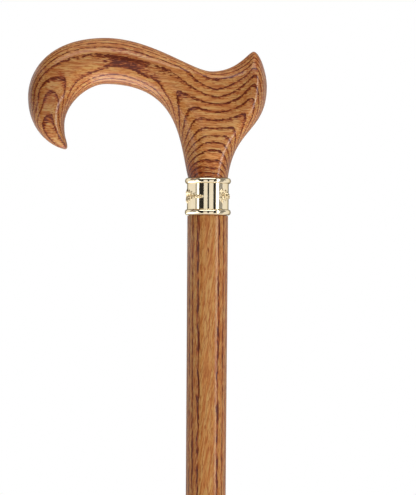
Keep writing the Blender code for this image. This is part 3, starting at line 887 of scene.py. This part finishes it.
def tipProfile(f, height):
    socket, bevel = f["socketRadius"], f["lipBevel"]
    sleeve = socket + f["sleeveWall"]
    foot = sleeve + f["sleeveTaper"]

    def sleeveAt(z):
        return sleeve + f["sleeveTaper"] * (height - z) / (height - f["flareHeight"])

    profile = [(0, f["soleThickness"]), (socket, f["soleThickness"]),
               (socket, height - bevel), (socket + bevel, height)]
    lip = height - f["lipRound"]
    profile += arcPoints((sleeveAt(lip) - f["lipRound"], lip), f["lipRound"], 90, 0, f["lipSteps"])
    for i in range(f["ribs"]):
        bottom = height - f["ribTop"] - i * f["ribPitch"] - f["ribHeight"]
        for angle in np.linspace(0, math.pi, f["ribSteps"] + 1):
            z = bottom + f["ribHeight"] / 2 * (1 + math.cos(angle))
            profile.append((sleeveAt(z) + f["ribProud"] * math.sin(angle) ** f["ribPower"], z))
    for t in np.linspace(0, 1, f["flareSteps"] + 1):
        profile.append((foot + f["flare"] * eased(t),
                        f["flareHeight"] + (f["footBand"] - f["flareHeight"]) * t))
    edge = foot + f["flare"] - f["soleEdge"]
    profile += arcPoints((edge, f["soleEdge"]), f["soleEdge"], 0, -90, 6)
    grooves = int((edge - f["treadDisc"]) / f["treadPitch"])
    for i in reversed(range(grooves)):
        inside = f["treadDisc"] + i * f["treadPitch"]
        outside = inside + f["grooveWidth"]
        profile += [(outside, 0), (outside - f["grooveDraft"], f["grooveDepth"]),
                    (inside + f["grooveDraft"], f["grooveDepth"]), (inside, 0)]
    profile.append((0, 0))
    return profile


def rubber():
    look = rubberLook
    mat = newMaterial("tip rubber")
    metres = placeOn(mat)
    dust = noise(mat, metres, *look["dust"])
    setShader(mat, {
        "Base Color": ramp(mat, dust, look["colours"]),
        "Roughness": spread(mat, dust, *look["roughness"]),
        "Normal": bumpFrom(mat, noise(mat, metres, *look["grain"]), *look["bump"]),
    })
    return mat


def makeTip():
    mesh = turnedMesh("tip", tipProfile(tipForm, tipHigh.z - tipLow.z), tipForm["count"])
    return addPiece("tip_rubber", mesh, tipLow.z, "tip", "ferrule", rubber())


def makeWasher():
    f = washerForm
    radius = washerHigh.x
    height = washerHigh.z - washerLow.z
    pressed = height - f["dish"]
    profile = [(0, pressed), (radius - f["rim"] - f["slope"], pressed), (radius - f["rim"], height)]
    profile += arcPoints((radius - f["edge"], height - f["edge"]), f["edge"], 90, 0, 4)
    profile += arcPoints((radius - f["edge"], f["edge"]), f["edge"], 0, -90, 4)
    profile.append((0, 0))
    mesh = turnedMesh("washer", profile, f["count"])
    return addPiece("tip_washer", mesh, washerLow.z, "tip", "ferrule_washer",
                    steel("washer steel", steelLook["washerRoughness"]))


tip = makeTip()
washer = makeWasher()
print("tip and washer made,", len(tip.data.vertices) + len(washer.data.vertices), "points")


# Studio: pale floor, white surround, soft boxes, grey cards that the brass reflects

studio = {
    "floorRadius": 3.2,
    "floorSides": 96,
    "floorColour": (0.80, 0.80, 0.80, 1),
    "floorFade": (0.2, 2.4),        # radii between which the floor pales into the background
    "floorPale": 0.5,               # how pale it already is in the middle
    "surround": 0.12,               # strength for everything but camera and reflections
    "reach": 0.95,                  # distance of the boxes from the shaft's axis
    # azimuth from the near side and width in degrees, lowest and highest edge, brightness
    "boxes": ((-54.5, 9, 0.35, 1.2, 1.7), (54, 6.5, 0.32, 1.35, 12.5)),
    "backBoxes": ((150, 40, 0.30, 1.20, 0.25), (-150, 40, 0.30, 1.20, 0.25)),   # not mirrored
    # grey cards seen only in the gloss, numbers as above but the last one how grey: first those
    # that stripe the collar, then those that keep the handle's front and sides from shining, last
    # those behind the cane
    "cards": ((-36, 28, 0.02, 1.7, 0.02), (2.5, 9, 0.02, 1.7, 0.02), (37, 14, 0.02, 1.7, 0.02),
              (-68, 7, 0.02, 0.93, 0.5), (76, 24, 0.02, 0.93, 0.55),
              (-12, 20, 0.93, 1.7, 0.02), (18, 22, 0.93, 1.7, 0.02),
              (-84, 38, 0.93, 1.4, 0.25), (86, 36, 0.93, 1.4, 0.25), (-57.5, 16, 0.93, 1.4, 0.3),
              (160, 40, 0.02, 1.7, 0.55), (-160, 40, 0.02, 1.7, 0.55)),
    "cardReach": 0.93,
    "cardRoughness": 0.9,
    # white sheets seen only in the gloss, a strip overhead and a small one under the bar, which
    # lies edge on to the camera: aside, forward, height, width, depth, brightness
    "sheens": ((-0.03, 0.62, 1.55, 1.2, 0.34, 4.2), (-0.062, 0, 0.8054, 0.06, 0.1, 3.6)),
    "ceiling": (1.7, 2.2, 0.4),     # height and size of the grey card overhead, how grey
    # lamps that shine on the handle: azimuth, reach, height, size, spread in degrees, brightness
    "spots": ((0, 1.5, 1.05, 1.2, 180, 2.1), (180, 1.5, 1.25, 1.2, 180, 2.2),
              (0, 0.0, 1.6, 1.0, 180, 2.4), (30, 1.3, 0.8, 0.8, 180, 0.5),
              (-90, 0.06, 0.05, 0.5, 50, 1.3)),
    "spotAim": Vector((-30 * mm, 0, 0.885)),
}


def aimed(obj, azimuth, reach, height, aim):
    # placed round the shaft, by degrees from the near side towards the horn, and turned to the aim
    turn = math.radians(azimuth)
    place = Vector((reach * math.sin(turn), -reach * math.cos(turn), height))
    obj.location = place
    obj.rotation_mode = "QUATERNION"
    obj.rotation_quaternion = (place - aim).to_track_quat("Z", "Y")
    obj.visible_camera = False


def upright(obj, azimuth, low, high, reach):
    height = (low + high) / 2
    aimed(obj, azimuth, reach, height, Vector((0, 0, height)))


def widthAt(degrees, reach):
    return 2 * reach * math.tan(math.radians(degrees / 2))


def makeBox(name, azimuth, degrees, low, high, brightness, mirrored):
    data = bpy.data.lights.new(name, "AREA")
    data.shape = "RECTANGLE"
    data.size = widthAt(degrees, studio["reach"])
    data.size_y = high - low
    data.energy = brightness * math.pi * data.size * data.size_y
    obj = bpy.data.objects.new(name, data)
    obj.visible_glossy = mirrored
    bpy.context.scene.collection.objects.link(obj)
    upright(obj, azimuth, low, high, studio["reach"])


def makeSpot(name, azimuth, reach, height, size, opening, brightness):
    # round lamp aimed at the handle, not seen in its gloss
    data = bpy.data.lights.new(name, "AREA")
    data.shape = "DISK"
    data.size = size
    data.spread = math.radians(opening)
    data.energy = brightness * math.pi * math.pi * size ** 2 / 4
    obj = bpy.data.objects.new(name, data)
    obj.visible_glossy = False
    bpy.context.scene.collection.objects.link(obj)
    aimed(obj, azimuth, reach, height, studio["spotAim"])


def makeCard(name, width, height, dark):
    x, y = width / 2, height / 2
    mesh = bpy.data.meshes.new(name)
    mesh.from_pydata([(-x, -y, 0), (x, -y, 0), (x, y, 0), (-x, y, 0)], [], [(0, 1, 2, 3)])
    mat = newMaterial(name)
    setShader(mat, {"Base Color": (*grey(dark), 1), "Roughness": studio["cardRoughness"]})
    mesh.materials.append(mat)
    obj = bpy.data.objects.new(name, mesh)
    bpy.context.scene.collection.objects.link(obj)
    obj.visible_camera = False
    obj.visible_shadow = False
    obj.visible_diffuse = False
    return obj


def standCard(name, azimuth, degrees, low, high, dark):
    reach = studio["cardReach"]
    card = makeCard(name, widthAt(degrees, reach), high - low, dark)
    upright(card, azimuth, low, high, reach)


def makeCeiling():
    height, size, dark = studio["ceiling"]
    makeCard("ceiling card", size, size, dark).location.z = height


def makeSheen(name, aside, forward, height, width, depth, brightness):
    # a level sheet that shines
    sheet = makeCard(name, width, depth, 0)
    sheet.location = (aside, -forward, height)
    setShader(sheet.data.materials[0], {"Emission Color": (1, 1, 1, 1),
                                        "Emission Strength": brightness})


def floorMaterial():
    # pales outwards into the white behind it, so that no edge shows, and is white in reflections
    mat = newMaterial("floor")
    setShader(mat, {"Base Color": studio["floorColour"], "Specular IOR Level": 0})
    away = addNode(mat, "ShaderNodeVectorMath", {0: placeOn(mat)}, operation="LENGTH")
    pale = spread(mat, away.outputs["Value"], *studio["floorFade"], studio["floorPale"], 1.0)
    rays = addNode(mat, "ShaderNodeLightPath").outputs
    mirrored = calc(mat, "MAXIMUM", rays["Is Glossy Ray"], rays["Is Transmission Ray"])
    share = calc(mat, "MAXIMUM", calc(mat, "MULTIPLY", pale, rays["Is Camera Ray"]), mirrored)
    white = addNode(mat, "ShaderNodeEmission")
    nodes = mat.node_tree.nodes
    mixed = addNode(mat, "ShaderNodeMixShader", {0: share, 1: nodes["Principled BSDF"].outputs[0],
                                                 2: white.outputs[0]})
    fillIn(mat, nodes["Material Output"], {"Surface": mixed.outputs[0]})
    return mat


def makeFloor():
    mesh = bpy.data.meshes.new("floor")
    sides = studio["floorSides"]
    mesh.from_pydata(circle(studio["floorRadius"], 0, sides), [], [tuple(range(sides))])
    mesh.materials.append(floorMaterial())
    floor = bpy.data.objects.new("floor", mesh)
    bpy.context.scene.collection.objects.link(floor)


def makeWorld():
    # white to the camera and in reflections, weaker as light
    world = bpy.data.worlds.new("studio")
    bpy.context.scene.world = world
    world.use_nodes = True
    rays = addNode(world, "ShaderNodeLightPath").outputs
    seen = calc(world, "MAXIMUM", rays["Is Camera Ray"], rays["Is Glossy Ray"])
    seen = calc(world, "MAXIMUM", seen, rays["Is Transmission Ray"])
    strength = spread(world, seen, 0, 1, studio["surround"], 1.0)
    background = world.node_tree.nodes["Background"]
    fillIn(world, background, {"Color": (1, 1, 1, 1), "Strength": strength})


def makeStudio():
    makeFloor()
    makeWorld()
    for i, box in enumerate(studio["boxes"]):
        makeBox("soft box %d" % (i + 1), *box, True)
    for i, box in enumerate(studio["backBoxes"]):
        makeBox("back box %d" % (i + 1), *box, False)
    for i, card in enumerate(studio["cards"]):
        standCard("card %d" % (i + 1), *card)
    makeCeiling()
    for i, sheet in enumerate(studio["sheens"]):
        makeSheen("sheen %d" % i, *sheet)
    for i, spot in enumerate(studio["spots"]):
        makeSpot("lamp %d" % (i + 1), *spot)


makeStudio()
bpy.context.scene.view_settings.view_transform = "Standard"
print("studio made")
